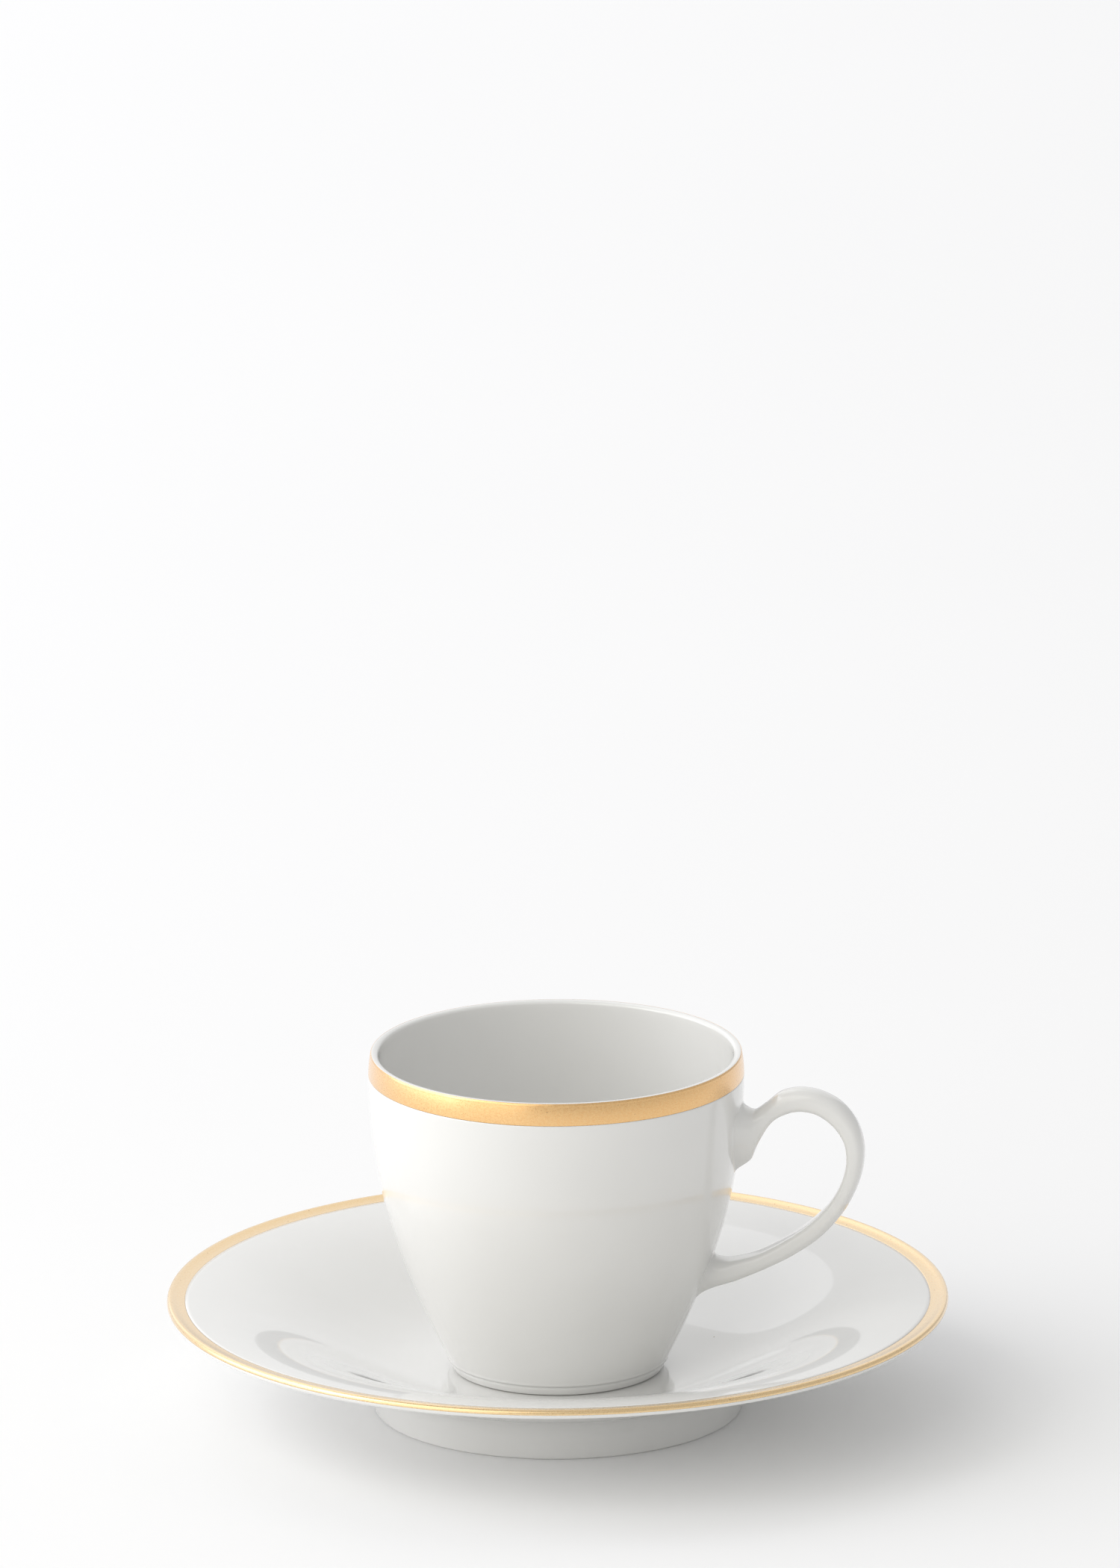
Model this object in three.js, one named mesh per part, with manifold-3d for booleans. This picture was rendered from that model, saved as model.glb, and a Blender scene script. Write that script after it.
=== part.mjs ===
// Teacup and saucer in glazed porcelain, each with a satin gold rim band.
// Millimetres, +Z up. The origin is the centre of the saucer's foot, at table height.
// The ear handle points along +X and is symmetric about the XZ plane.
import * as THREE from "three";
import { mergeVertices } from "three/addons/utils/BufferGeometryUtils.js";
import Module from "manifold-3d";

const wasm = await Module();
wasm.setup();

// Driving dimensions, mm
const SEGMENTS = 48; // facets round every turned piece
const GAP = 0.05; // clearance between pieces that meet
const GILDING = 0.2; // thickness of the gold layer as modelled
const SLIP_LAYER = 0.5; // thickness of the slip that joins the handle to the wall

const SAUCER_RADIUS = 84.2;
const SAUCER_RIM_Z = 25;
const SAUCER_EDGE_THICKNESS = 2.15;
const SAUCER_FLANGE_RADIUS = 80.3; // where the gilding starts and the flange turns up
const SAUCER_FLANGE_Z = 24.35;
const SAUCER_GOLD_EDGE_DROP = 1.05; // how far the gold runs down the outer edge
const WELL_Z = 8.9;
const WELL_THICKNESS = 3.7;
const WELL_RADIUS = 25; // flat centre of the well

const SAUCER_FOOT_OUTER_RADIUS = 39.75;
const SAUCER_FOOT_INNER_RADIUS = 36.2;
const SAUCER_FOOT_BEVEL = 0.55;
const SAUCER_FOOT_FILLET = 3.4;

const CUP_FOOT_Z = WELL_Z + GAP;
const CUP_FOOT_RADIUS = 22.6;
const CUP_FOOT_INNER_RADIUS = 19.6;
const CUP_FOOT_HEIGHT = 2.6;
const CUP_WAIST_Z = 73.5; // widest height, just below the lip
const CUP_WAIST_RADIUS = 40.4;
const LIP_RADIUS = CUP_WAIST_RADIUS - 0.4;
const CUP_TOP_Z = 79.5;
const LIP_THICKNESS = 1.4;
const CUP_FLOOR_Z = 15.4;
const CUP_GOLD_LOW_Z = 74.6;

const PORCELAIN = { color: 0xf1f0ec, roughness: 0.08, metalness: 0 };
const BARE_PORCELAIN = { color: 0xe7e2d8, roughness: 0.6, metalness: 0 };
const GOLD = { color: 0xd9a766, roughness: 0.38, metalness: 1 };

// Ear handle: stations from the upper root round to the lower root.
// [outer x, outer z, inner x, inner z, half width across the handle, taper towards the inner side]
const HANDLE_STATIONS = [
  [36.5, 68.2, 35.5, 51.0, 7.0, 0.6],
  [40.0, 68.0, 39.6, 53.4, 5.4, 0.5],
  [42.6, 67.8, 42.2, 56.6, 3.9, 0.25],
  [45.3, 69.6, 44.2, 61.2, 3.2, 0.1],
  [48.4, 72.2, 47.0, 65.7, 3.1, 0],
  [51.2, 73.2, 50.4, 67.8, 3.1, 0],
  [54.2, 73.4, 53.6, 68.4, 3.1, 0],
  [57.8, 72.7, 57.0, 67.7, 3.1, 0],
  [61.9, 70.5, 60.2, 65.4, 3.1, 0],
  [65.2, 66.5, 62.3, 62.4, 3.1, 0],
  [66.8, 61.6, 63.0, 59.6, 3.1, 0],
  [66.7, 56.6, 62.9, 56.3, 3.1, 0],
  [65.3, 51.6, 61.7, 52.3, 3.1, 0],
  [62.4, 46.1, 59.1, 47.8, 3.1, 0],
  [57.6, 40.4, 54.6, 43.1, 3.1, 0],
  [51.8, 36.1, 49.2, 39.2, 3.1, 0],
  [46.0, 32.9, 43.8, 36.2, 3.2, 0],
  [40.2, 30.2, 38.8, 34.6, 3.5, 0],
  [35.4, 28.2, 34.4, 34.0, 4.4, 0.1],
  [30.0, 25.4, 29.4, 35.0, 5.6, 0.2],
];
const HANDLE_STEPS = 32; // sections along the handle
const HANDLE_SIDES = 12; // points round each section
const OUTER_ROUNDNESS = 2.1; // superellipse power of the convex outer side
const INNER_ROUNDNESS = 3.4; // superellipse power of the flatter inner side
const ROOT_SPLIT_Z = 45; // a height between the two roots

const point = (x, y) => new THREE.Vector2(x, y);

// Points along a curve without its first point, so that outlines can be chained.
const along = (curve, steps) => curve.getPoints(steps).slice(1);

// Outline moved sideways by a distance; positive is to the right of travel.
function offset(outline, distance) {
  return outline.map((here, i) => {
    const before = outline[Math.max(i - 1, 0)];
    const after = outline[Math.min(i + 1, outline.length - 1)];
    const run = after.clone().sub(before).normalize();
    return point(here.x + run.y * distance, here.y - run.x * distance);
  });
}

// Vertices and triangles of a geometry, with shared vertices merged and flat triangles left out.
function weld(geometry) {
  const bare = geometry.clone();
  for (const name of ["normal", "uv"]) bare.deleteAttribute(name);
  const merged = mergeVertices(bare, 1e-4);
  const index = merged.index.array;
  const kept = [];
  for (let i = 0; i < index.length; i += 3) {
    const [a, b, c] = [index[i], index[i + 1], index[i + 2]];
    if (a !== b && b !== c && c !== a) kept.push(a, b, c);
  }
  merged.setIndex(kept);
  return merged;
}

function signedVolume(geometry) {
  const position = geometry.attributes.position;
  const corners = [new THREE.Vector3(), new THREE.Vector3(), new THREE.Vector3()];
  let sum = 0;
  for (let i = 0; i < geometry.index.count; i += 3) {
    corners.forEach((corner, k) => corner.fromBufferAttribute(position, geometry.index.getX(i + k)));
    sum += corners[0].dot(corners[1].clone().cross(corners[2])) / 6;
  }
  return sum;
}

// Closed geometry with its faces pointing out.
function outward(geometry) {
  const welded = weld(geometry);
  if (signedVolume(welded) < 0) welded.setIndex(Array.from(welded.index.array).reverse());
  return welded;
}

// Solid of revolution about Z from an outline of (radius, height) points.
function turned(outline) {
  const geometry = new THREE.LatheGeometry(outline, SEGMENTS);
  return outward(geometry.rotateX(Math.PI / 2));
}

function toSolid(geometry) {
  const closed = outward(geometry);
  const vertProperties = new Float32Array(closed.attributes.position.array);
  const triVerts = new Uint32Array(closed.index.array);
  return new wasm.Manifold(new wasm.Mesh({ numProp: 3, vertProperties, triVerts }));
}

function toGeometry(solid) {
  const { vertProperties, triVerts } = solid.getMesh();
  const geometry = new THREE.BufferGeometry();
  geometry.setAttribute("position", new THREE.BufferAttribute(vertProperties, 3));
  geometry.setIndex(new THREE.BufferAttribute(triVerts, 1));
  return geometry;
}

// Saucer: the top surface is one S-curve from the flat well to the flange.
function saucerTop() {
  return new THREE.CubicBezierCurve(
    point(WELL_RADIUS, WELL_Z),
    point(WELL_RADIUS + 22, WELL_Z),
    point(SAUCER_FLANGE_RADIUS - 24, SAUCER_FLANGE_Z - 1.1),
    point(SAUCER_FLANGE_RADIUS, SAUCER_FLANGE_Z),
  );
}

function saucerUnderside() {
  const lowest = WELL_Z - WELL_THICKNESS;
  const rimStart = SAUCER_RADIUS - 1.6;
  const highest = SAUCER_RIM_Z - SAUCER_EDGE_THICKNESS;
  return new THREE.CubicBezierCurve(
    point(WELL_RADIUS + 1, lowest),
    point(WELL_RADIUS + 21, lowest),
    point(rimStart - 27, highest - 0.7),
    point(rimStart, highest),
  );
}

// Height of a curve whose x grows steadily, at a given x.
function heightAt(curve, x) {
  let [low, high] = [0, 1];
  for (let i = 0; i < 40; i += 1) {
    const middle = (low + high) / 2;
    if (curve.getPoint(middle).x < x) low = middle;
    else high = middle;
  }
  return curve.getPoint(low).y;
}

// The gilded stretch of the saucer's outline, up the turned-up flange and over the edge.
function saucerGoldOutline() {
  const crest = point(SAUCER_RADIUS - 0.9, SAUCER_RIM_Z);
  const flange = new THREE.CubicBezierCurve(
    point(SAUCER_FLANGE_RADIUS, SAUCER_FLANGE_Z),
    point(SAUCER_FLANGE_RADIUS + 1.8, SAUCER_FLANGE_Z + 0.1),
    point(SAUCER_RADIUS - 1.4, SAUCER_RIM_Z),
    crest,
  );
  const edge = new THREE.QuadraticBezierCurve(
    crest,
    point(SAUCER_RADIUS, SAUCER_RIM_Z),
    point(SAUCER_RADIUS, SAUCER_RIM_Z - SAUCER_GOLD_EDGE_DROP),
  );
  return [...flange.getPoints(3), ...along(edge, 3)];
}

function saucerDish() {
  const under = saucerUnderside();
  const recess = offset(saucerGoldOutline(), GILDING + GAP);
  const goldEnd = saucerGoldOutline().at(-1);
  return turned([
    point(0, WELL_Z),
    ...saucerTop().getPoints(12),
    ...recess,
    goldEnd.clone().setY(goldEnd.y - GAP),
    point(SAUCER_RADIUS - 0.4, SAUCER_RIM_Z - SAUCER_EDGE_THICKNESS + 0.35),
    ...under.getPoints(10).reverse(),
    point(0, WELL_Z - WELL_THICKNESS),
  ]);
}

function saucerFootRing() {
  const under = saucerUnderside();
  const fitted = (radius) => point(radius, heightAt(under, radius) - GAP);
  const outerTop = fitted(SAUCER_FOOT_OUTER_RADIUS + SAUCER_FOOT_FILLET);
  const middleTop = under.getPoints(10).filter(
    (p) => p.x > SAUCER_FOOT_INNER_RADIUS && p.x < outerTop.x,
  );
  const fillet = new THREE.QuadraticBezierCurve(
    point(SAUCER_FOOT_OUTER_RADIUS, heightAt(under, SAUCER_FOOT_OUTER_RADIUS) - SAUCER_FOOT_FILLET),
    point(SAUCER_FOOT_OUTER_RADIUS, heightAt(under, SAUCER_FOOT_OUTER_RADIUS) - GAP),
    outerTop,
  );
  const start = point(SAUCER_FOOT_INNER_RADIUS + SAUCER_FOOT_BEVEL, 0);
  return turned([
    start,
    point(SAUCER_FOOT_OUTER_RADIUS - SAUCER_FOOT_BEVEL, 0),
    point(SAUCER_FOOT_OUTER_RADIUS, SAUCER_FOOT_BEVEL),
    ...fillet.getPoints(4),
    ...middleTop.map((p) => point(p.x, p.y - GAP)).reverse(),
    fitted(SAUCER_FOOT_INNER_RADIUS),
    point(SAUCER_FOOT_INNER_RADIUS, SAUCER_FOOT_BEVEL),
    start.clone(),
  ]);
}

// A skin of even thickness over an outline that runs with the body on its right.
function skin(outline, thickness) {
  return turned([...outline, ...offset(outline, thickness).reverse(), outline[0].clone()]);
}

// Cup: the outer wall is one curve from the foot to the waist below the lip.
function cupWall() {
  return new THREE.CubicBezierCurve(
    point(CUP_FOOT_RADIUS, CUP_FOOT_Z),
    point(CUP_FOOT_RADIUS + 10, CUP_FOOT_Z + 20),
    point(CUP_WAIST_RADIUS - 0.5, CUP_WAIST_Z - 27.5),
    point(CUP_WAIST_RADIUS, CUP_WAIST_Z),
  );
}

function cupInside() {
  return new THREE.CubicBezierCurve(
    point(CUP_WAIST_RADIUS - 2.2, CUP_TOP_Z - 0.8),
    point(CUP_WAIST_RADIUS - 1.9, 46),
    point(CUP_FOOT_RADIUS + 7.9, CUP_FLOOR_Z),
    point(13, CUP_FLOOR_Z),
  );
}

// The gilded stretch of the cup's outline, from the wall up to the outer corner of the lip.
function cupGoldOutline() {
  const taper = new THREE.QuadraticBezierCurve(
    point(CUP_WAIST_RADIUS, CUP_GOLD_LOW_Z),
    point(CUP_WAIST_RADIUS - 0.05, CUP_TOP_Z - 2.6),
    point(LIP_RADIUS, CUP_TOP_Z - 0.7),
  );
  const rounding = new THREE.QuadraticBezierCurve(
    taper.getPoint(1),
    point(LIP_RADIUS - 0.03, CUP_TOP_Z - 0.3),
    point(LIP_RADIUS - 0.25, CUP_TOP_Z - 0.1),
  );
  return [...taper.getPoints(3), ...along(rounding, 3)];
}

function cupBowl() {
  const wall = cupWall();
  const seatZ = CUP_FOOT_Z + CUP_FOOT_HEIGHT + GAP;
  const wallPoints = wall.getPoints(12).filter((p) => p.y > seatZ + 0.5);
  const gold = cupGoldOutline();
  // The outline runs upwards, so the body lies on its left.
  const recess = offset(gold, -(GILDING + GAP));
  return turned([
    point(0, seatZ),
    point(radiusAt(wall, seatZ), seatZ),
    ...wallPoints,
    gold[0].clone().setY(gold[0].y - GAP),
    ...recess,
    gold.at(-1).clone().add(point(-0.7 * GAP, 0.7 * GAP)),
    point(LIP_RADIUS - 0.7, CUP_TOP_Z),
    point(LIP_RADIUS - LIP_THICKNESS, CUP_TOP_Z - 0.12),
    ...cupInside().getPoints(13),
    point(0, CUP_FLOOR_Z),
  ]);
}

// Radius of a curve whose height grows steadily, at a given height.
function radiusAt(curve, z) {
  const swapped = { getPoint: (t) => point(curve.getPoint(t).y, curve.getPoint(t).x) };
  return heightAt(swapped, z);
}

function cupFootRing() {
  const wall = cupWall();
  const topZ = CUP_FOOT_Z + CUP_FOOT_HEIGHT;
  const start = point(CUP_FOOT_INNER_RADIUS + 0.4, CUP_FOOT_Z);
  return turned([
    start,
    point(CUP_FOOT_RADIUS - 0.5, CUP_FOOT_Z),
    point(radiusAt(wall, CUP_FOOT_Z + 0.5), CUP_FOOT_Z + 0.5),
    point(radiusAt(wall, topZ), topZ),
    point(CUP_FOOT_INNER_RADIUS, topZ),
    point(CUP_FOOT_INNER_RADIUS, CUP_FOOT_Z + 0.4),
    start.clone(),
  ]);
}

// Solid inside the cup's outer wall, grown by a distance. It shapes the handle's roots.
function cupEnvelope(growth) {
  const wall = cupWall().getPoints(12);
  const grown = offset(wall, growth);
  return toSolid(turned([point(0, CUP_FOOT_Z), ...grown, point(0, CUP_WAIST_Z)]));
}

// The whole handle as one closed loft whose ends lie inside the wall.
function handleLoft() {
  const rail = (a, b) => new THREE.SplineCurve(HANDLE_STATIONS.map((s) => point(s[a], s[b])));
  const outer = rail(0, 1);
  const inner = rail(2, 3);
  const spread = new THREE.SplineCurve(HANDLE_STATIONS.map((s) => point(s[4], s[5])));
  const power = (value, roundness) => Math.sign(value) * Math.abs(value) ** (2 / roundness);
  const vertices = [];
  for (let step = 0; step <= HANDLE_STEPS; step += 1) {
    const t = step / HANDLE_STEPS;
    const [o, i] = [outer.getPoint(t), inner.getPoint(t)];
    const centre = o.clone().add(i).multiplyScalar(0.5);
    const half = o.clone().sub(i).multiplyScalar(0.5);
    const { x: width, y: taper } = spread.getPoint(t);
    for (let side = 0; side < HANDLE_SIDES; side += 1) {
      const angle = (2 * Math.PI * side) / HANDLE_SIDES;
      const roundness = Math.cos(angle) > 0 ? OUTER_ROUNDNESS : INNER_ROUNDNESS;
      const reach = power(Math.cos(angle), roundness);
      const across = power(Math.sin(angle), roundness) * (1 + taper * reach);
      vertices.push(centre.x + half.x * reach, width * across, centre.y + half.y * reach);
    }
  }
  const triangles = [];
  for (let step = 0; step < HANDLE_STEPS; step += 1) {
    for (let side = 0; side < HANDLE_SIDES; side += 1) {
      const a = step * HANDLE_SIDES + side;
      const b = step * HANDLE_SIDES + ((side + 1) % HANDLE_SIDES);
      triangles.push(a, b, a + HANDLE_SIDES, b, b + HANDLE_SIDES, a + HANDLE_SIDES);
    }
  }
  const last = HANDLE_STEPS * HANDLE_SIDES;
  for (let side = 1; side < HANDLE_SIDES - 1; side += 1) {
    triangles.push(0, side + 1, side, last, last + side, last + side + 1);
  }
  const geometry = new THREE.BufferGeometry();
  geometry.setAttribute("position", new THREE.Float32BufferAttribute(vertices, 3));
  geometry.setIndex(triangles);
  return toSolid(geometry);
}

// The slip layer between the handle's root and the wall, above or below the split height.
function slipJoint(loft, upper) {
  const size = 200;
  const halfSpace = new THREE.BoxGeometry(size, size, size);
  halfSpace.translate(0, 0, ROOT_SPLIT_Z + (upper ? size / 2 : -size / 2));
  const layer = loft.intersect(cupEnvelope(SLIP_LAYER)).subtract(cupEnvelope(GAP));
  return toGeometry(layer.intersect(toSolid(halfSpace)));
}

function part(name, geometry, finish) {
  const mesh = new THREE.Mesh(geometry, new THREE.MeshStandardMaterial(finish));
  mesh.name = name;
  return mesh;
}

const saucer = new THREE.Group();
saucer.add(part("saucer_dish", saucerDish(), PORCELAIN));
saucer.add(part("saucer_foot_ring", saucerFootRing(), BARE_PORCELAIN));
saucer.add(part("saucer_gold_band", skin(saucerGoldOutline(), GILDING), GOLD));

const loft = handleLoft();
const cup = new THREE.Group();
cup.add(part("cup_bowl", cupBowl(), PORCELAIN));
cup.add(part("cup_foot_ring", cupFootRing(), BARE_PORCELAIN));
cup.add(part("cup_gold_band", skin(cupGoldOutline().reverse(), GILDING), GOLD));
cup.add(part("cup_handle", toGeometry(loft.subtract(cupEnvelope(SLIP_LAYER + GAP))), PORCELAIN));
cup.add(part("handle_upper_slip_joint", slipJoint(loft, true), PORCELAIN));
cup.add(part("handle_lower_slip_joint", slipJoint(loft, false), PORCELAIN));

const teacup = new THREE.Group();
teacup.add(saucer, cup);
export default teacup;
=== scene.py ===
"""Porcelain teacup with a satin gold rim band, on its saucer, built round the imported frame.

Outlines are in millimetres, as (radius, height) points about the common Z axis, and make()
turns them into metres. The camera and the lights are placed in metres. The handle points along +X.
"""
import math

import bpy
import numpy as np
from mathutils import Matrix, Vector


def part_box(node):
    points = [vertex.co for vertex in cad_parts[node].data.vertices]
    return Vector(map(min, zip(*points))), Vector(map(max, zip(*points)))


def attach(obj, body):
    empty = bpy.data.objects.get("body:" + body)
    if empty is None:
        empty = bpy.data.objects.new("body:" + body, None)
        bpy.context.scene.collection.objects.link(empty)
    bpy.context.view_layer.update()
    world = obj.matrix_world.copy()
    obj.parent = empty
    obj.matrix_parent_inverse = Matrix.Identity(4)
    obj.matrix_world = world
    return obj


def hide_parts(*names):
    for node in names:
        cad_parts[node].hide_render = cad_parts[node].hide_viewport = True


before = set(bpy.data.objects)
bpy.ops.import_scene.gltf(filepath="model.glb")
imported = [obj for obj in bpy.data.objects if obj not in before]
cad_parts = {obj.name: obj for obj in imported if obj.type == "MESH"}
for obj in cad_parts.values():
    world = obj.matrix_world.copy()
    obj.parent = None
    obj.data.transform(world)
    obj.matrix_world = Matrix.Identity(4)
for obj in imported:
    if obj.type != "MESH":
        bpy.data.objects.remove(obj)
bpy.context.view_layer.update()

MM = 0.001


def span(node):
    """Lowest and highest corner of a CAD node, in mm."""
    low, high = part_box(node)
    return low / MM, high / MM


# Driving sizes, read from the frame, mm
SAUCER_RADIUS = span("saucer_gold_band")[1].x
SAUCER_RIM_Z = span("saucer_gold_band")[1].z
SAUCER_FOOT_Z = span("saucer_foot_ring")[0].z
WELL_UNDER_Z = span("saucer_dish")[0].z
CUP_FOOT_Z = span("cup_foot_ring")[0].z
CUP_SEAT_Z = span("cup_foot_ring")[1].z
CUP_TOP_Z = span("cup_bowl")[1].z
CUP_WAIST_RADIUS = span("cup_bowl")[1].x

# Further sizes of the same design, mm
WELL_RADIUS = 25.0  # flat centre of the well
WELL_Z = 8.9
SAUCER_FLANGE_RADIUS = 80.3  # where the gilding starts and the flange turns up
SAUCER_FLANGE_Z = 24.35
SAUCER_CREST_RADIUS = SAUCER_RADIUS - 0.9  # highest line of the rim
SAUCER_EDGE_THICKNESS = 2.15
SAUCER_GOLD_EDGE_DROP = 1.05  # how far the gold runs down the outer edge
SAUCER_FOOT_OUTER_RADIUS = 39.75
SAUCER_FOOT_INNER_RADIUS = 36.2
SAUCER_FOOT_FILLET = 3.4
SAUCER_FOOT_INNER_FILLET = 1.6
FOOT_ROUNDING = 0.55  # of both bearing edges
CUP_FOOT_RADIUS = 22.6
CUP_FOOT_INNER_RADIUS = 19.6
CUP_WAIST_Z = 73.5  # where the wall reaches its widest, a little below the lip
CUP_FLOOR_Z = 15.4
CUP_FLOOR_RADIUS = 13.0
CUP_GOLD_LOW_Z = 74.6
LIP_RADIUS = CUP_WAIST_RADIUS - 0.4  # outside of the lip
LIP_THICKNESS = 1.4
SEAM_DEPTH = 0.4  # how far a foot ring reaches into the body above it
FILM = 0.03  # how far the gilded surface stands off the porcelain under it
TURNED_SIDES = 256

# Ear handle stations from the upper root round to the lower root, mm:
# outer x, outer z, inner x, inner z, half width, taper towards the inner side
HANDLE_STATIONS = np.array([
    [36.5, 68.2, 35.5, 51.0, 7.0, 0.6],
    [40.0, 68.0, 39.6, 53.4, 5.4, 0.5],
    [42.6, 67.8, 42.2, 56.6, 3.9, 0.25],
    [45.3, 69.6, 44.2, 61.2, 3.2, 0.1],
    [48.4, 72.2, 47.0, 65.7, 3.1, 0.0],
    [51.2, 73.2, 50.4, 67.8, 3.1, 0.0],
    [54.2, 73.4, 53.6, 68.4, 3.1, 0.0],
    [57.8, 72.7, 57.0, 67.7, 3.1, 0.0],
    [61.9, 70.5, 60.2, 65.4, 3.1, 0.0],
    [65.2, 66.5, 62.3, 62.4, 3.1, 0.0],
    [66.8, 61.6, 63.0, 59.6, 3.1, 0.0],
    [66.7, 56.6, 62.9, 56.3, 3.1, 0.0],
    [65.3, 51.6, 61.7, 52.3, 3.1, 0.0],
    [62.4, 46.1, 59.1, 47.8, 3.1, 0.0],
    [57.6, 40.4, 54.6, 43.1, 3.1, 0.0],
    [51.8, 36.1, 49.2, 39.2, 3.1, 0.0],
    [46.0, 32.9, 43.8, 36.2, 3.2, 0.0],
    [40.2, 30.2, 38.8, 34.6, 3.5, 0.0],
    [35.4, 28.2, 34.4, 34.0, 4.4, 0.1],
    [30.0, 25.4, 29.4, 35.0, 5.6, 0.2],
])
HANDLE_SIDES = 72
HANDLE_ROWS = 190
OUTER_ROUNDNESS = 2.3  # superellipse power of the convex outer side
INNER_ROUNDNESS = 4.0  # superellipse power of the flatter inner side

# Where the handle leaves its stations for the wall, and its footprint there: start in station
# numbers, the footprint's inner and outer height and half width in mm, its taper as above. pull and
# spread say how closely the blend keeps to the handle and to the wall.
UPPER_ROOT = dict(start=2.3, inner_z=53.6, outer_z=69.6, width=6.6, taper=0.5, pull=0.9, spread=0.7)
LOWER_ROOT = dict(start=17.1, inner_z=35.8, outer_z=25.0, width=5.4, taper=0.1, pull=0.9, spread=0.8)
ROOT_ROWS = 26
ROOT_SINK = 0.01  # how far the footprint lies under the wall's surface, mm
HEM_DEPTH = 0.6  # how deep the handle's hidden end reaches into the wall, mm

# Colours, linear RGB, and roughnesses
GLAZE_LIGHT = (0.805, 0.802, 0.784)
GLAZE_DEEP = (0.785, 0.781, 0.762)
BISQUE = (0.80, 0.77, 0.715)
SPECK = (0.30, 0.22, 0.15)
CUP_GOLD = ((0.88, 0.51, 0.185), (0.92, 0.575, 0.235))  # deep and light tone of the grain
SAUCER_GOLD = ((0.88, 0.615, 0.30), (0.92, 0.675, 0.36))
GOLD_PIT = (0.55, 0.32, 0.13)
GLAZE_ROUGHNESS = 0.22
BISQUE_ROUGHNESS = 0.75
FLOOR_TONES = ((0.95, 0.95, 0.95), (0.96, 0.96, 0.96))

# Camera, in degrees and metres
CAMERA_TURN = 9.0  # how far round towards the handle the camera stands
CAMERA_RISE = 15.69  # angle of the optical axis above the horizontal
CAMERA_ROLL = -0.35
CAMERA_DISTANCE = 4.15
FRAME_HEIGHT = 0.33762  # height of the picture at that distance
AIM_HEIGHT = 0.040  # a point on the axis, half way up the pair
AIM_SHIFT = (-0.0006, -0.0953)  # how far right of and above the picture's centre it stands

# Studio, in metres
FLOOR_HALF_SIZE = 6.0
STUDIO_STRENGTH = 0.58
SOFT_BOX_DISTANCE = 2.4
SOFT_BOX_SIZE = 2.6
SOFT_BOXES = (  # name, way round from the camera and height in degrees, watts, colour
    ("left", -90, 22, 36.0, (0.95, 0.955, 1.0)),
    ("front_left", -45, 30, 21.0, (1.0, 0.98, 0.9)),
    ("back_left", -135, 32, 10.0, (0.95, 0.96, 1.0)),
    ("back", 180, 35, 8.0, (1.0, 1.0, 1.0)),
)


# ---------------------------------------------------------------- outlines

def bezier(points, steps=24):
    """Points along a Bezier curve with any number of control points."""
    t = np.linspace(0, 1, steps + 1)[:, None]
    points = np.array(points, float)
    degree = len(points) - 1
    weights = [math.comb(degree, k) * (1 - t) ** (degree - k) * t ** k for k in range(degree + 1)]
    return sum(w * p for w, p in zip(weights, points))


def offset(outline, distance):
    """Outline moved to the left of travel."""
    run = np.gradient(outline, axis=0)
    run /= np.linalg.norm(run, axis=1)[:, None]
    return outline + distance * np.stack([-run[:, 1], run[:, 0]], 1)


def height_at(outline, radius):
    """Height of an outline that runs outwards, at a radius."""
    return float(np.interp(radius, outline[:, 0], outline[:, 1]))


def chain(*parts):
    """One outline from points and stretches, without repeated points."""
    rows = np.concatenate([np.atleast_2d(np.array(p, float)) for p in parts])
    keep = np.ones(len(rows), bool)
    keep[1:] = np.linalg.norm(np.diff(rows, axis=0), axis=1) > 1e-4
    return rows[keep]


def saucer_top():
    return bezier([(WELL_RADIUS, WELL_Z), (WELL_RADIUS + 22, WELL_Z),
                   (SAUCER_FLANGE_RADIUS - 24, SAUCER_FLANGE_Z - 1.1),
                   (SAUCER_FLANGE_RADIUS, SAUCER_FLANGE_Z)], 80)


def saucer_under():
    edge_radius, edge_z = SAUCER_RADIUS - 1.6, SAUCER_RIM_Z - SAUCER_EDGE_THICKNESS
    return bezier([(WELL_RADIUS + 1, WELL_UNDER_Z), (WELL_RADIUS + 21, WELL_UNDER_Z),
                   (edge_radius - 27, edge_z - 0.7), (edge_radius, edge_z)], 60)


def saucer_gold_line():
    """Gilded stretch, up the flange and over the edge."""
    crest = (SAUCER_CREST_RADIUS, SAUCER_RIM_Z)
    flange = bezier([(SAUCER_FLANGE_RADIUS, SAUCER_FLANGE_Z),
                     (SAUCER_FLANGE_RADIUS + 1.8, SAUCER_FLANGE_Z + 0.1),
                     (SAUCER_RADIUS - 1.4, SAUCER_RIM_Z), crest], 24)
    edge = bezier([crest, (SAUCER_RADIUS, SAUCER_RIM_Z),
                   (SAUCER_RADIUS, SAUCER_RIM_Z - SAUCER_GOLD_EDGE_DROP)], 14)
    return chain(flange, edge)


def cup_wall():
    return bezier([(CUP_FOOT_RADIUS, CUP_FOOT_Z), (CUP_FOOT_RADIUS + 10, CUP_FOOT_Z + 20),
                   (CUP_WAIST_RADIUS - 0.5, CUP_WAIST_Z - 27.5), (CUP_WAIST_RADIUS, CUP_WAIST_Z)], 90)


def cup_gold_line():
    """Gilded stretch, from the wall up to the outer corner of the lip."""
    taper = bezier([(CUP_WAIST_RADIUS, CUP_GOLD_LOW_Z), (CUP_WAIST_RADIUS - 0.05, CUP_TOP_Z - 2.6),
                    (LIP_RADIUS, CUP_TOP_Z - 0.7)], 24)
    rounding = bezier([taper[-1], (LIP_RADIUS - 0.03, CUP_TOP_Z - 0.3),
                       (LIP_RADIUS - 0.25, CUP_TOP_Z - 0.1)], 14)
    return chain(taper, rounding)


# ---------------------------------------------------------------- meshes

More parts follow.
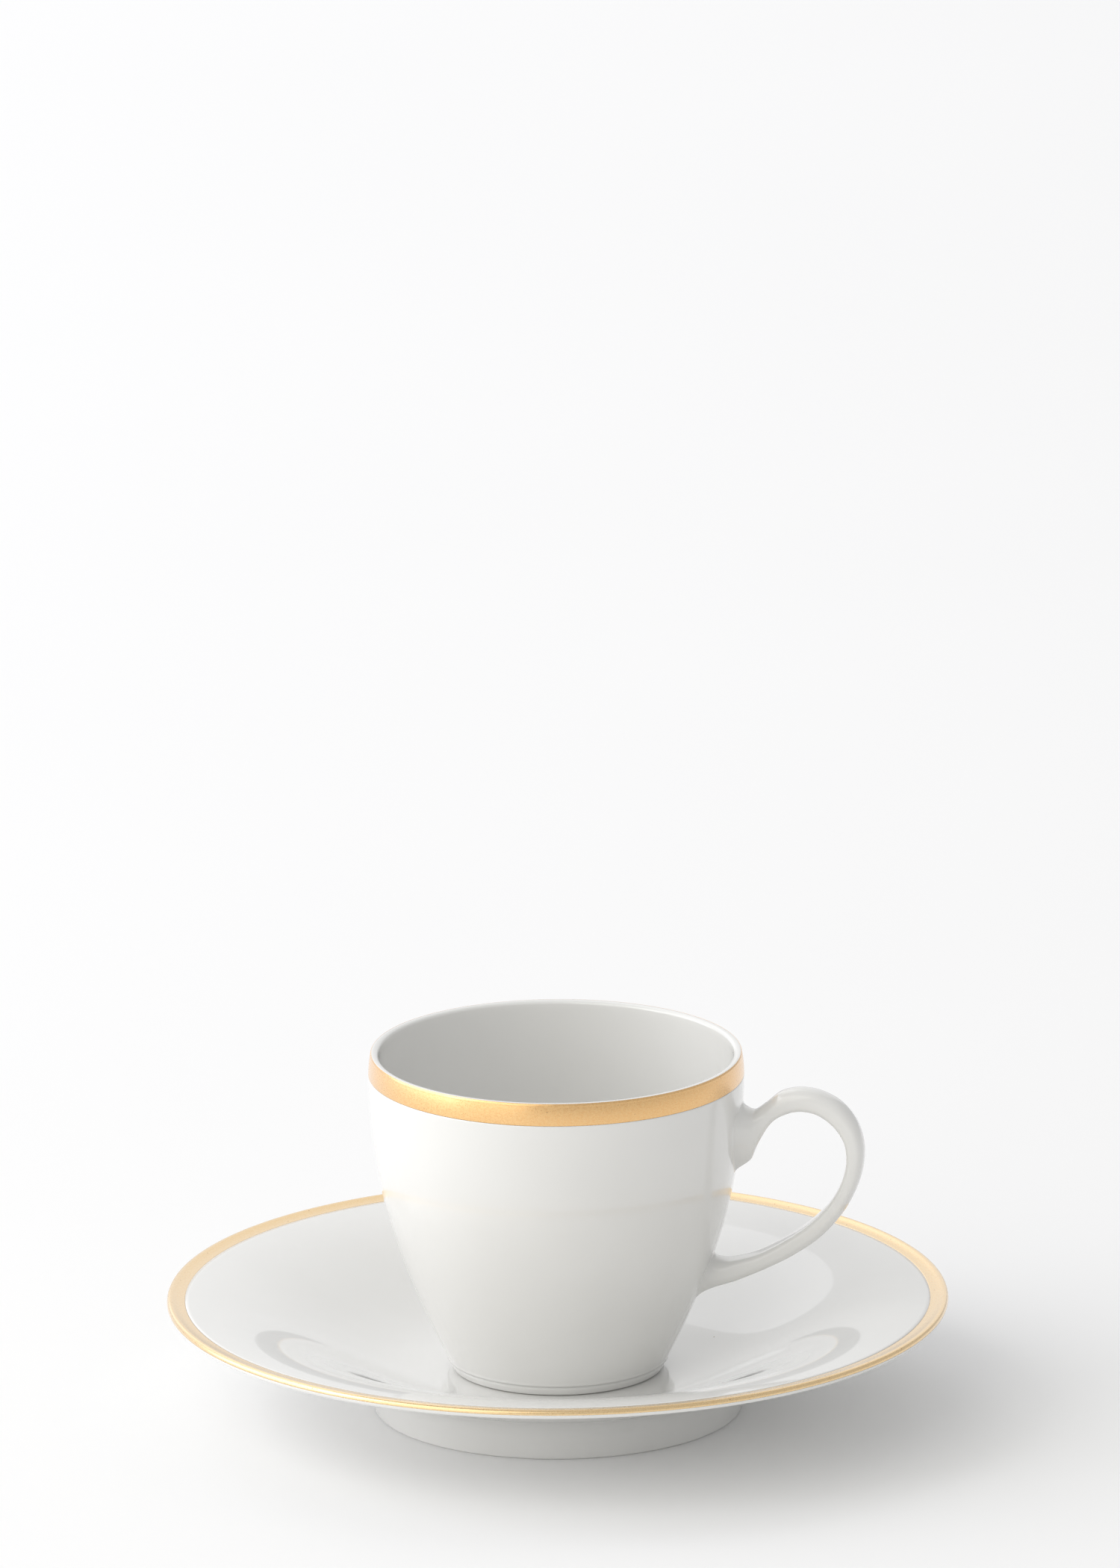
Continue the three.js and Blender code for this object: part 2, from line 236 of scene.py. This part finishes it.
def make(name, vertices, faces, materials, uv=None):
    """A smooth-shaded mesh object from points in mm; uv holds one pair for each vertex."""
    mesh = bpy.data.meshes.new(name)
    mesh.from_pydata([tuple(v) for v in np.asarray(vertices) * MM], [], faces)
    if uv is not None:
        layer = mesh.uv_layers.new(name="UVMap")
        loops = np.zeros(len(mesh.loops), int)
        mesh.loops.foreach_get("vertex_index", loops)
        layer.data.foreach_set("uv", np.asarray(uv, float)[loops].ravel())
    mesh.polygons.foreach_set("use_smooth", [True] * len(mesh.polygons))
    for material in materials:
        mesh.materials.append(material)
    mesh.update()
    piece = bpy.data.objects.new(name, mesh)
    bpy.context.scene.collection.objects.link(piece)
    return piece


def fan(centre, base, sides, flip):
    """Triangles from a centre vertex to the ring of vertices that starts at base."""
    faces = []
    for side in range(sides):
        here, beside = base + side, base + (side + 1) % sides
        faces.append((centre, beside, here) if flip else (centre, here, beside))
    return faces


def turn(name, outline, material, closed=False):
    """Solid of revolution: an outline from axis to axis, or one that closes on itself.

    The outline runs with the body on its left. UV is (turns round the axis, mm along the outline).
    """
    outline = np.array(outline)
    rings = outline if closed else outline[1:-1]
    last = len(rings) - 1
    angles = np.arange(TURNED_SIDES) * 2 * math.pi / TURNED_SIDES
    travel = np.concatenate([[0], np.cumsum(np.linalg.norm(np.diff(rings, axis=0), axis=1))])
    vertices = [(r * math.cos(a), r * math.sin(a), z) for r, z in rings for a in angles]
    uv = [(side / TURNED_SIDES, way) for way in travel for side in range(TURNED_SIDES)]
    faces = []
    for ring in range(last + 1 if closed else last):
        here, there = ring * TURNED_SIDES, (ring + 1) % len(rings) * TURNED_SIDES
        for side in range(TURNED_SIDES):
            beside = (side + 1) % TURNED_SIDES
            faces.append((here + side, here + beside, there + beside, there + side))
    if not closed:
        for tip, ring, flip in ((outline[0], 0, True), (outline[-1], last, False)):
            vertices.append((0, 0, tip[1]))
            uv.append((0, travel[ring]))
            faces += fan(len(vertices) - 1, ring * TURNED_SIDES, TURNED_SIDES, flip)
    return make(name, vertices, faces, [material], uv)


def film(name, line, material):
    """Thin closed skin whose outer face is the line; the body lies on the line's left."""
    under = offset(line, 2 * FILM)[::-1]
    return turn(name, chain(line, under), material, closed=True)


# ---------------------------------------------------------------- saucer and cup bodies

def saucer_dish(material):
    top, under, gold = saucer_top(), saucer_under(), saucer_gold_line()
    recess = offset(gold, -FILM)
    lip = bezier([(SAUCER_RADIUS, gold[-1, 1]), (SAUCER_RADIUS - 0.05, under[-1, 1] + 0.3),
                  (SAUCER_RADIUS - 0.6, under[-1, 1] + 0.06), under[-1]], 16)
    outline = chain((0, WELL_Z), top, recess, lip, under[::-1], (0, WELL_UNDER_Z))
    return turn("saucer_dish_porcelain", outline[::-1], material)


def saucer_foot(material):
    """Ring with a filleted outside, rounded bearing edge and a top buried just inside the dish."""
    under = saucer_under()
    outer, inner = SAUCER_FOOT_OUTER_RADIUS, SAUCER_FOOT_INNER_RADIUS
    outer_reach, inner_reach = outer + SAUCER_FOOT_FILLET, inner - SAUCER_FOOT_INNER_FILLET
    outer_z, inner_z = height_at(under, outer), height_at(under, inner)
    fillet = bezier([(outer, outer_z - SAUCER_FOOT_FILLET), (outer, outer_z),
                     (outer_reach, height_at(under, outer_reach))], 24)
    inside = bezier([(inner_reach, height_at(under, inner_reach)), (inner, inner_z),
                     (inner, inner_z - SAUCER_FOOT_INNER_FILLET)], 12)
    round_out = bezier([(outer - FOOT_ROUNDING, SAUCER_FOOT_Z), (outer, SAUCER_FOOT_Z),
                        (outer, SAUCER_FOOT_Z + FOOT_ROUNDING)], 8)
    round_in = bezier([(inner, SAUCER_FOOT_Z + FOOT_ROUNDING), (inner, SAUCER_FOOT_Z),
                       (inner + FOOT_ROUNDING, SAUCER_FOOT_Z)], 8)
    wall = np.linspace(round_out[-1], fillet[0], 10)
    buried = [(reach, height_at(under, reach) + SEAM_DEPTH) for reach in (outer_reach, inner_reach)]
    outline = chain(round_in, round_out, wall, fillet, buried, inside)
    return turn("saucer_foot_ring_porcelain", outline, material, closed=True)


def cup_bowl(material):
    wall, gold = cup_wall(), cup_gold_line()
    seam_z = CUP_SEAT_Z - 0.3  # the wall starts just inside the foot ring
    bare = wall[wall[:, 1] > seam_z]
    neck = np.linspace(wall[-1], (CUP_WAIST_RADIUS, CUP_GOLD_LOW_Z), 4)
    recess = offset(gold, FILM)
    inside = bezier([(LIP_RADIUS - 1.8, CUP_TOP_Z - 0.8), (LIP_RADIUS - 1.5, 46),
                     (CUP_FOOT_RADIUS + 7.9, CUP_FLOOR_Z), (CUP_FLOOR_RADIUS, CUP_FLOOR_Z)], 90)
    lip = bezier([recess[-1], (LIP_RADIUS - 0.5, CUP_TOP_Z),
                  (CUP_WAIST_RADIUS - LIP_THICKNESS, CUP_TOP_Z),
                  (LIP_RADIUS - 1.75, CUP_TOP_Z - 0.2), inside[0]], 18)
    outline = chain((0, CUP_SEAT_Z), (CUP_FOOT_INNER_RADIUS, CUP_SEAT_Z), (bare[0, 0], seam_z),
                    bare, neck, recess, lip, inside, (0, CUP_FLOOR_Z))
    return turn("cup_bowl_porcelain", outline, material)


def cup_foot(material):
    """Lowest stretch of the wall with a rounded bearing edge; its top is buried in the bowl."""
    wall = cup_wall()
    low = wall[wall[:, 1] < CUP_SEAT_Z + 0.01]
    buried_z = CUP_SEAT_Z + SEAM_DEPTH
    round_out = bezier([(CUP_FOOT_RADIUS - FOOT_ROUNDING, CUP_FOOT_Z),
                        (CUP_FOOT_RADIUS + 0.1, CUP_FOOT_Z), low[1]], 8)
    outline = chain((CUP_FOOT_INNER_RADIUS + 0.4, CUP_FOOT_Z), round_out, low[2:],
                    (low[-1, 0] - 1.0, buried_z), (CUP_FOOT_INNER_RADIUS, buried_z),
                    (CUP_FOOT_INNER_RADIUS, CUP_FOOT_Z + 0.4))
    return turn("cup_foot_ring_porcelain", outline, material, closed=True)


# ---------------------------------------------------------------- handle

def hermite(s, start, end, leave, arrive):
    """Cubic from start to end, with the given directions there, at s from 0 to 1."""
    return ((2 * s ** 3 - 3 * s ** 2 + 1) * start + (s ** 3 - 2 * s ** 2 + s) * leave
            + (3 * s ** 2 - 2 * s ** 3) * end + (s ** 3 - s ** 2) * arrive)


def catmull(rows, u):
    """Catmull-Rom spline through the rows, at u in row numbers."""
    last = len(rows) - 1
    row = min(int(u), last - 1)
    before, start, end, after = (rows[min(max(row + step, 0), last)] for step in (-1, 0, 1, 2))
    return hermite(u - row, start, end, (end - before) / 2, (after - start) / 2)


def unit(vectors):
    return vectors / np.linalg.norm(vectors, axis=1)[:, None]


def section_angles():
    return np.arange(HANDLE_SIDES) * 2 * math.pi / HANDLE_SIDES


def superellipse():
    """(reach, across) round the section: reach is +1 on the outer side, across is sideways."""
    angle = section_angles()
    power = np.where(np.cos(angle) > 0, 2 / OUTER_ROUNDNESS, 2 / INNER_ROUNDNESS)
    reach = np.sign(np.cos(angle)) * np.abs(np.cos(angle)) ** power
    across = np.sign(np.sin(angle)) * np.abs(np.sin(angle)) ** power
    return reach, across


def handle_ring(u):
    """Section of the handle at u in station numbers."""
    outer_x, outer_z, inner_x, inner_z, width, taper = catmull(HANDLE_STATIONS, u)
    reach, across = superellipse()
    x = (outer_x + inner_x) / 2 + (outer_x - inner_x) / 2 * reach
    z = (outer_z + inner_z) / 2 + (outer_z - inner_z) / 2 * reach
    y = width * across * (1 + taper * reach)
    return np.stack([x, y, z], 1)


def footprint(inner_z, outer_z, width, taper):
    """Closed curve on the cup's wall, with the wall's normals and the directions leading away from it."""
    wall = cup_wall()
    angle = section_angles()
    reach, across = np.cos(angle), np.sin(angle)
    z = (inner_z + outer_z) / 2 + (outer_z - inner_z) / 2 * reach
    y = width * across * (1 + taper * reach)
    radius = np.interp(z, wall[:, 1], wall[:, 0])
    x = np.sqrt(radius ** 2 - y ** 2)
    slope = np.interp(z, wall[:, 1], np.gradient(wall[:, 0], wall[:, 1]))
    normal = unit(np.stack([x / radius, y / radius, -slope], 1))
    points = np.stack([x, y, z], 1)
    along = np.roll(points, -1, 0) - np.roll(points, 1, 0)
    away = unit(np.cross(along, normal))
    outward = np.sign(np.einsum("ij,ij->i", away, points - points.mean(0)))
    return points, normal, away * outward[:, None]


def root_rows(root, step):
    """Rows of the blend from the handle onto the wall, tangent to both; step leads back to the handle."""
    ring, inner_ring = handle_ring(root["start"]), handle_ring(root["start"] + step)
    points, normal, away = footprint(root["inner_z"], root["outer_z"], root["width"], root["taper"])
    distance = np.linalg.norm(points - ring, axis=1)[:, None]
    leave = unit(ring - inner_ring) * distance * root["pull"]
    arrive = away * distance * root["spread"]
    steps = np.linspace(0, 1, ROOT_ROWS + 1)[1:]
    rows = [hermite(s, ring, points - ROOT_SINK * normal, leave, arrive) for s in steps]
    return rows + [points - HEM_DEPTH * normal]


def handle(material):
    stations = np.linspace(UPPER_ROOT["start"], LOWER_ROOT["start"], HANDLE_ROWS)
    rows = root_rows(UPPER_ROOT, 0.02)[::-1]
    rows += [handle_ring(u) for u in stations]
    rows += root_rows(LOWER_ROOT, -0.02)
    vertices = [point for row in rows for point in row.tolist()]
    faces = []
    for row in range(len(rows) - 1):
        here, there = row * HANDLE_SIDES, (row + 1) * HANDLE_SIDES
        for side in range(HANDLE_SIDES):
            beside = (side + 1) % HANDLE_SIDES
            faces.append((here + side, here + beside, there + beside, there + side))
    for row, flip in ((0, True), (len(rows) - 1, False)):
        vertices.append(rows[row].mean(0).tolist())
        faces += fan(len(vertices) - 1, row * HANDLE_SIDES, HANDLE_SIDES, flip)
    return make("cup_handle_porcelain", vertices, faces, [material])


# ---------------------------------------------------------------- materials

def new_material(name):
    """A material with its node tree and its main shader."""
    material = bpy.data.materials.new(name)
    material.use_nodes = True
    tree = material.node_tree
    shader = tree.nodes["Principled BSDF"]
    return material, tree, shader


def node(tree, kind, inputs=None, **settings):
    """A node with its settings; inputs maps a socket to a value or to another node's output."""
    made = tree.nodes.new(kind)
    for key, value in settings.items():
        setattr(made, key, value)
    for socket, value in (inputs or {}).items():
        if isinstance(value, bpy.types.NodeSocket):
            tree.links.new(value, made.inputs[socket])
        else:
            made.inputs[socket].default_value = value
    return made


def ramp(tree, factor, stops):
    """Colour along stops of (position, colour)."""
    made = node(tree, "ShaderNodeValToRGB", {"Fac": factor})
    elements = made.color_ramp.elements
    while len(elements) < len(stops):
        elements.new(0.5)
    for element, (position, color) in zip(elements, stops):
        element.position = position
        element.color = (*color, 1)
    return made.outputs["Color"]


def few_dots(tree, place, scale, edge, share_left_out):
    """1 in small round dots, 0 elsewhere; edge gives the two distances between which a dot fades."""
    cells = node(tree, "ShaderNodeTexVoronoi", {"Vector": place, "Scale": scale})
    dot = ramp(tree, cells.outputs["Distance"], [(edge[0], (1, 1, 1)), (edge[1], (0, 0, 0))])
    lot = node(tree, "ShaderNodeSeparateColor", {"Color": cells.outputs["Color"]})
    chosen = node(tree, "ShaderNodeMath", {0: lot.outputs["Red"], 1: share_left_out},
                  operation="GREATER_THAN")
    kept = node(tree, "ShaderNodeMath", {0: dot, 1: chosen.outputs[0]}, operation="MULTIPLY")
    return kept.outputs[0]


def mixed(tree, factor, first, second):
    mix = node(tree, "ShaderNodeMix", {"Factor": factor, "A": first, "B": second}, data_type="RGBA")
    return mix.outputs["Result"]


def speckled(tree, place):
    """Colour of the body: a slightly clouded white with rare small specks."""
    cloud = node(tree, "ShaderNodeTexNoise", {"Vector": place, "Scale": 28.0, "Detail": 2.0})
    tint = ramp(tree, cloud.outputs["Fac"], [(0.35, GLAZE_DEEP), (0.65, GLAZE_LIGHT)])
    specks = few_dots(tree, place, 95.0, (0.012, 0.022), 0.93)
    return mixed(tree, specks, tint, (*SPECK, 1))


def bare_zone(tree, place, foot_z):
    """1 on the bearing edge just above foot_z (mm), 0 higher up, with a slightly uneven border."""
    height = node(tree, "ShaderNodeSeparateXYZ", {"Vector": place}).outputs["Z"]
    wobble = node(tree, "ShaderNodeTexNoise", {"Vector": place, "Scale": 160.0})
    uneven = node(tree, "ShaderNodeMath", {0: wobble.outputs["Fac"], 1: 0.0002, 2: height},
                  operation="MULTIPLY_ADD")
    zone = node(tree, "ShaderNodeMapRange", {
        "Value": uneven.outputs[0], "From Min": (foot_z + 0.2) * MM, "From Max": (foot_z + 0.05) * MM,
        "To Min": 0.0, "To Max": 1.0})
    return zone.outputs[0]


def strip_glaze(tree, shader, place, color, foot_z):
    """Leave the bearing edge without glaze; returns the colour with the bare body in it."""
    bare = bare_zone(tree, place, foot_z)
    grit = node(tree, "ShaderNodeTexNoise", {"Vector": place, "Scale": 2600.0, "Detail": 3.0})
    body = ramp(tree, grit.outputs["Fac"], [(0.3, BISQUE), (0.7, GLAZE_DEEP)])
    roughness = node(tree, "ShaderNodeMapRange", {"Value": bare, "To Min": GLAZE_ROUGHNESS,
                                                  "To Max": BISQUE_ROUGHNESS})
    coat = node(tree, "ShaderNodeMapRange", {"Value": bare, "To Min": 1.0, "To Max": 0.0})
    tree.links.new(roughness.outputs[0], shader.inputs["Roughness"])
    tree.links.new(coat.outputs[0], shader.inputs["Coat Weight"])
    return mixed(tree, bare, color, body)


def glazed_porcelain(name, foot_z=None):
    """White porcelain under clear glaze; foot_z gives the height (mm) of an unglazed bearing edge."""
    material, tree, shader = new_material(name)
    place = node(tree, "ShaderNodeTexCoord").outputs["Object"]
    color = speckled(tree, place)
    if foot_z is None:
        shader.inputs["Roughness"].default_value = GLAZE_ROUGHNESS
        shader.inputs["Coat Weight"].default_value = 1.0
    else:
        color = strip_glaze(tree, shader, place, color, foot_z)
    peel = node(tree, "ShaderNodeTexNoise", {"Vector": place, "Scale": 210.0, "Detail": 1.0})
    bump = node(tree, "ShaderNodeBump", {"Height": peel.outputs["Fac"], "Strength": 0.05,
                                         "Distance": 0.0003})
    tree.links.new(color, shader.inputs["Base Color"])
    tree.links.new(bump.outputs[0], shader.inputs["Normal"])
    shader.inputs["Coat Roughness"].default_value = 0.04
    shader.inputs["Coat IOR"].default_value = 1.5
    shader.inputs["Specular IOR Level"].default_value = 0.35
    return material


def gold_relief(tree, grain, brush):
    """Normal of the gilded surface: brush lines with the grain on top of them."""
    lines = node(tree, "ShaderNodeBump", {"Height": brush, "Strength": 0.08, "Distance": 0.0001})
    relief = node(tree, "ShaderNodeBump", {"Height": grain, "Strength": 0.08, "Distance": 0.0001,
                                           "Normal": lines.outputs[0]})
    return relief.outputs[0]


def satin_gold(name, tones):
    """Fired gold lustre: fine sandy grain, tiny pits and a faint brushing round the rim."""
    material, tree, shader = new_material(name)
    texture = node(tree, "ShaderNodeTexCoord")
    place, unrolled = texture.outputs["Object"], texture.outputs["UV"]
    grain = node(tree, "ShaderNodeTexNoise", {"Vector": place, "Scale": 2300.0, "Detail": 2.0})
    stretch = node(tree, "ShaderNodeMapping", {"Vector": unrolled, "Scale": (400.0, 3.2, 1.0)})
    brush = node(tree, "ShaderNodeTexNoise", {"Vector": stretch.outputs[0], "Scale": 1.0, "Detail": 3.0})
    both = node(tree, "ShaderNodeMath", {0: grain.outputs["Fac"], 1: brush.outputs["Fac"]},
                operation="ADD")
    half = node(tree, "ShaderNodeMath", {0: both.outputs[0], 1: 0.5}, operation="MULTIPLY")
    skin = ramp(tree, half.outputs[0], [(0.40, tones[0]), (0.58, tones[1])])
    pits = few_dots(tree, place, 900.0, (0.10, 0.17), 0.86)
    roughness = node(tree, "ShaderNodeMapRange", {"Value": grain.outputs["Fac"], "From Min": 0.3,
                                                  "From Max": 0.7, "To Min": 0.24, "To Max": 0.34})
    relief = gold_relief(tree, grain.outputs["Fac"], brush.outputs["Fac"])
    tree.links.new(mixed(tree, pits, skin, (*GOLD_PIT, 1)), shader.inputs["Base Color"])
    tree.links.new(roughness.outputs[0], shader.inputs["Roughness"])
    tree.links.new(relief, shader.inputs["Normal"])
    shader.inputs["Metallic"].default_value = 1.0
    shader.inputs["Coat Weight"].default_value = 1.0
    shader.inputs["Coat Roughness"].default_value = 0.25
    shader.inputs["Coat IOR"].default_value = 1.75
    return material


def floor_finish():
    material, tree, shader = new_material("studio_floor")
    place = node(tree, "ShaderNodeTexCoord").outputs["Object"]
    mottle = node(tree, "ShaderNodeTexNoise", {"Vector": place, "Scale": 3.0})
    color = ramp(tree, mottle.outputs["Fac"], [(0.3, FLOOR_TONES[0]), (0.7, FLOOR_TONES[1])])
    tree.links.new(color, shader.inputs["Base Color"])
    shader.inputs["Roughness"].default_value = 0.9
    shader.inputs["Specular IOR Level"].default_value = 0.0
    return material


# ---------------------------------------------------------------- stage, light and camera

def direction(turned, rise):
    """Unit vector towards a place seen so far round from the front (-Y) and so high, in degrees."""
    turned, rise = math.radians(turned), math.radians(rise)
    return Vector((math.sin(turned) * math.cos(rise), -math.cos(turned) * math.cos(rise),
                   math.sin(rise)))


def studio_floor():
    """Wide level floor under the saucer; from the camera it fills the whole background."""
    reach = FLOOR_HALF_SIZE / MM
    corners = [(-reach, -reach, 0), (reach, -reach, 0), (reach, reach, 0), (-reach, reach, 0)]
    make("studio_floor", corners, [(0, 1, 2, 3)], [floor_finish()])


def soft_box(name, way, power, color):
    """Square lamp that looks at the middle of the pair; way is the direction it stands in."""
    data = bpy.data.lights.new(name, "AREA")
    data.size = SOFT_BOX_SIZE
    data.energy = power
    data.color = color
    lamp = bpy.data.objects.new(name, data)
    lamp.location = Vector((0, 0, AIM_HEIGHT)) + SOFT_BOX_DISTANCE * way
    lamp.rotation_euler = way.to_track_quat("Z", "Y").to_euler()
    bpy.context.scene.collection.objects.link(lamp)


def light():
    """Large soft boxes round the pair, most of them on its left, and a pale studio round them."""
    world = bpy.data.worlds.new("studio")
    bpy.context.scene.world = world
    world.use_nodes = True
    background = world.node_tree.nodes["Background"]
    background.inputs["Color"].default_value = (1.0, 1.0, 1.0, 1)
    background.inputs["Strength"].default_value = STUDIO_STRENGTH
    for name, round_by, height, power, color in SOFT_BOXES:
        soft_box(name, direction(CAMERA_TURN + round_by, height), power, color)
    bpy.context.scene.view_settings.view_transform = "Standard"


def viewpoint():
    """Camera that looks down at the pair and shows it below the picture's centre."""
    back = direction(CAMERA_TURN, CAMERA_RISE)
    level = Vector((-back.y, back.x, 0)).normalized()
    upright = back.cross(level)
    roll = math.radians(CAMERA_ROLL)
    right = math.cos(roll) * level + math.sin(roll) * upright
    up = math.cos(roll) * upright - math.sin(roll) * level
    aim = Vector((0, 0, AIM_HEIGHT)) - AIM_SHIFT[0] * right - AIM_SHIFT[1] * up
    data = bpy.data.cameras.new("camera")
    data.sensor_width = 36.0
    data.lens = data.sensor_width * CAMERA_DISTANCE / FRAME_HEIGHT
    data.clip_end = 20.0
    camera = bpy.data.objects.new("camera", data)
    turned = Matrix((right, up, back)).transposed().to_4x4()
    camera.matrix_world = Matrix.Translation(aim + CAMERA_DISTANCE * back) @ turned
    bpy.context.scene.collection.objects.link(camera)
    bpy.context.scene.camera = camera


# ---------------------------------------------------------------- assembly

def place_piece(piece, body, slot, *nodes):
    """Hang a piece on its body, in place of the CAD nodes named; the slot argument is not used."""
    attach(piece, body)
    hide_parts(*nodes)


viewpoint()
light()
studio_floor()

glaze = glazed_porcelain("glazed_porcelain")
saucer_foot_finish = glazed_porcelain("saucer_foot_porcelain", SAUCER_FOOT_Z)
cup_foot_finish = glazed_porcelain("cup_foot_porcelain", CUP_FOOT_Z)
cup_gold = satin_gold("satin_gold_cup", CUP_GOLD)
saucer_gold = satin_gold("satin_gold_saucer", SAUCER_GOLD)

place_piece(saucer_dish(glaze), "saucer", "glazed_porcelain", "saucer_dish")
place_piece(saucer_foot(saucer_foot_finish), "saucer", "foot_porcelain", "saucer_foot_ring")
place_piece(film("saucer_gilding", saucer_gold_line()[::-1], saucer_gold), "saucer", "satin_gold",
            "saucer_gold_band")
place_piece(cup_bowl(glaze), "cup", "glazed_porcelain", "cup_bowl")
place_piece(cup_foot(cup_foot_finish), "cup", "foot_porcelain", "cup_foot_ring")
place_piece(film("cup_gilding", cup_gold_line(), cup_gold), "cup", "satin_gold", "cup_gold_band")
place_piece(handle(glaze), "cup", "glazed_porcelain", "cup_handle", "handle_upper_slip_joint",
            "handle_lower_slip_joint")
